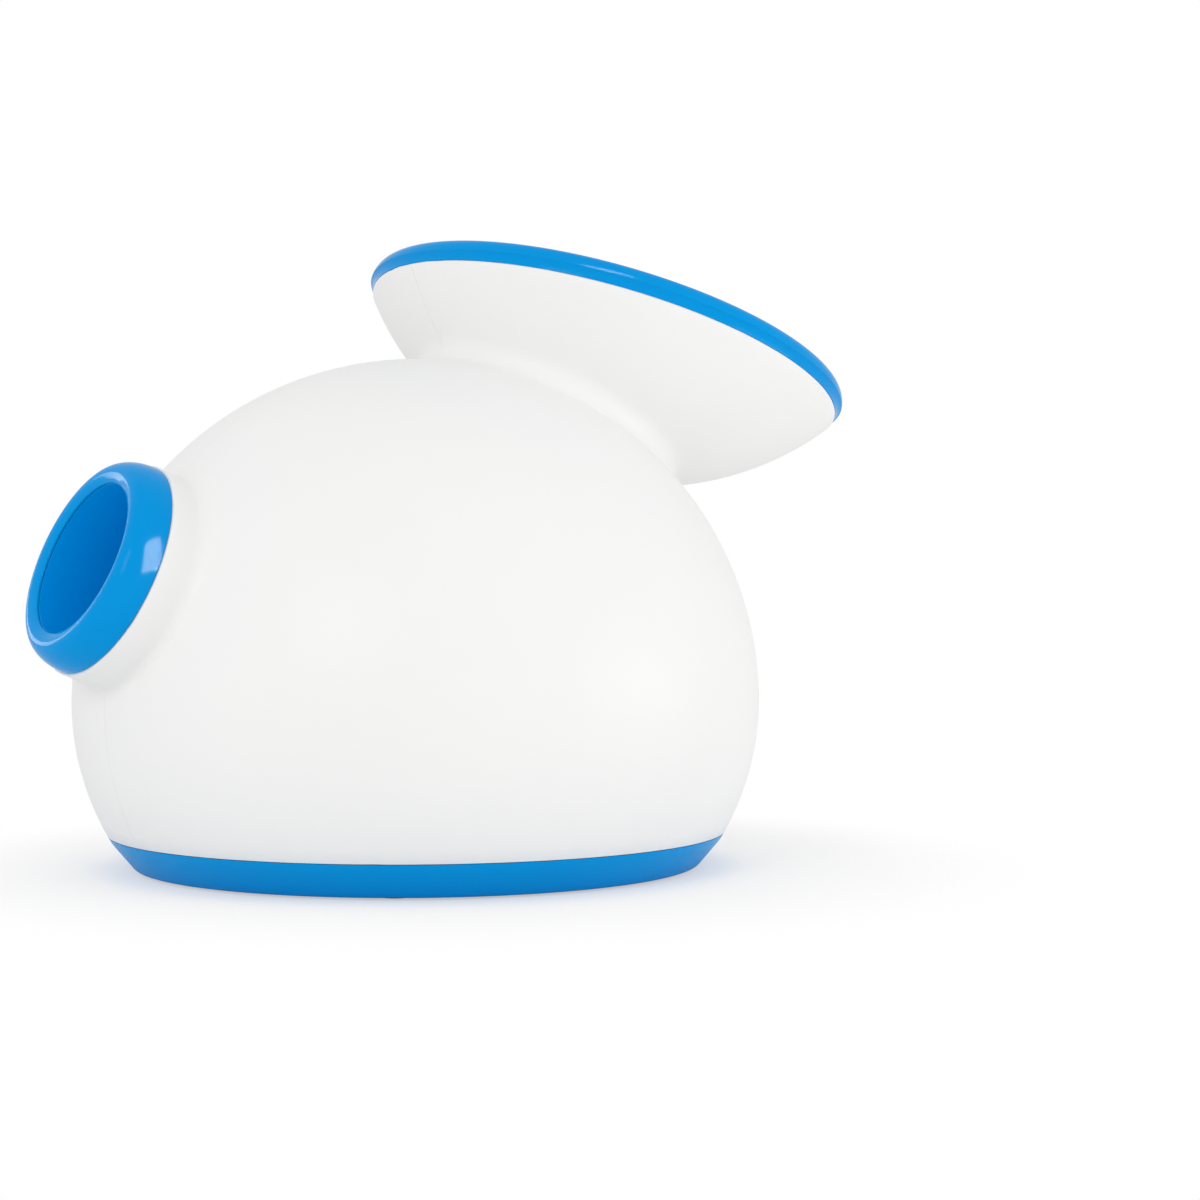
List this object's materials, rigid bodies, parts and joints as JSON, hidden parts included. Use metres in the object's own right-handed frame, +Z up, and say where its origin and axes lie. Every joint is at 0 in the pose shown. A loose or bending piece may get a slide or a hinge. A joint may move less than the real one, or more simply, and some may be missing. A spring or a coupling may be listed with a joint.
{
  "type": "automatic dog ball launcher",
  "caption": "Domed automatic ball launcher for dogs, with a tilted feed bowl on top, a flywheel drive and an angled round muzzle",
  "frame": {"origin": "middle of the footprint, on the surface the feet stand on", "axes": "+Z up, -Y the way the muzzle points, +X to the right seen from the muzzle's side looking along +Y; X = 0 is the seam between the shell halves"},
  "size_m": [0.21, 0.2704, 0.1915],
  "materials": {
    "shell": "gloss white ABS",
    "tray": "gloss blue ABS",
    "feet": "matt rubber",
    "screws": "plated steel",
    "grey_plastic": "matt grey ABS",
    "cells": "printed sleeve over a metal can",
    "contacts": "bare spring brass",
    "door": "gloss blue ABS",
    "ring": "gloss blue ABS",
    "barrel": "gloss deep blue ABS",
    "rim": "gloss blue ABS",
    "liner": "gloss white ABS",
    "sensors": "black sensor housing",
    "motors": "drawn steel can",
    "shafts": "ground steel",
    "tyres": "matt soft rubber",
    "lever": "matt blue ABS",
    "pinion": "cut brass",
    "panel": "gloss white ABS",
    "button": "gloss blue ABS",
    "spring": "spring steel wire",
    "switch": "black switch housing",
    "lens": "clear lens",
    "inlet": "black connector housing",
    "board": "green circuit board"
  },
  "bodies": {
    "housing": {"shell_left": "shell", "shell_right": "shell", "base_tray": "tray", "foot_front_left": "feet", "foot_front_right": "feet", "foot_rear_left": "feet", "foot_rear_right": "feet", "base_screw_front_left": "screws", "base_screw_front_right": "screws", "base_screw_rear_left": "screws", "base_screw_rear_right": "screws", "drive_screw_front_left": "screws", "drive_screw_front_right": "screws", "drive_screw_rear_left": "screws", "drive_screw_rear_right": "screws", "case_screw_front": "screws", "case_screw_rear": "screws", "chute_screw_left": "screws", "chute_screw_right": "screws", "battery_box": "grey_plastic", "ball_chute": "grey_plastic", "chute_stand_left": "grey_plastic", "chute_stand_right": "grey_plastic", "drive_frame": "grey_plastic", "cell_1": "cells", "cell_2": "cells", "cell_3": "cells", "cell_4": "cells", "cell_5": "cells", "cell_6": "cells", "contact_strip_left": "contacts", "contact_strip_right": "contacts", "muzzle_ring": "ring", "barrel_tube": "barrel", "funnel_rim": "rim", "funnel_liner": "liner", "ball_sensor_emitter": "sensors", "ball_sensor_receiver": "sensors", "motor_left": "motors", "motor_right": "motors", "gate_motor": "motors", "control_panel": "panel", "button_spring": "spring", "tact_switch": "switch", "indicator_lens": "lens", "dc_inlet": "inlet", "control_board": "board"},
    "flywheel_left": {"motor_shaft_left": "shafts", "wheel_hub_left": "grey_plastic", "wheel_tyre_left": "tyres"},
    "flywheel_right": {"motor_shaft_right": "shafts", "wheel_hub_right": "grey_plastic", "wheel_tyre_right": "tyres"},
    "gate": {"gate_lever": "lever", "gate_shaft": "shafts", "gate_gear": "grey_plastic"},
    "gate_drive": {"gate_pinion": "pinion"},
    "button": {"mode_button": "button"},
    "door": {"battery_door": "door"}
  },
  "joints": [
    {"name": "flywheel_left_spin", "type": "hinge", "parent": "housing", "child": "flywheel_left", "pos_m": [-0.0465, -0.05741, 0.06653], "axis": [0, 0.3843, 0.9232], "continuous": true},
    {"name": "flywheel_right_spin", "type": "hinge", "parent": "housing", "child": "flywheel_right", "pos_m": [0.0465, -0.05741, 0.06653], "axis": [0, 0.3843, 0.9232], "continuous": true},
    {"name": "gate_swing", "type": "hinge", "parent": "housing", "child": "gate", "pos_m": [0, -0.03962, 0.10135], "axis": [-1, 0, 0], "range_deg": [0, 75]},
    {"name": "gate_pinion_spin", "type": "hinge", "parent": "housing", "child": "gate_drive", "pos_m": [0, -0.02524, 0.10837], "axis": [-1, 0, 0], "range_deg": [-225, 0]},
    {"name": "mode_button_press", "type": "slide", "parent": "housing", "child": "button", "axis": [0, -1, 0], "range_m": [0, 0.0015], "stiffness_N_per_m": 300, "deforming": ["button_spring"]},
    {"name": "battery_door_open", "type": "hinge", "parent": "housing", "child": "door", "pos_m": [0, -0.02479, 0.0018], "axis": [-1, 0, 0], "range_deg": [0, 70]}
  ],
  "couplings": [
    {"joint": "gate_pinion_spin", "follows": "gate_swing", "ratio": -3}
  ]
}
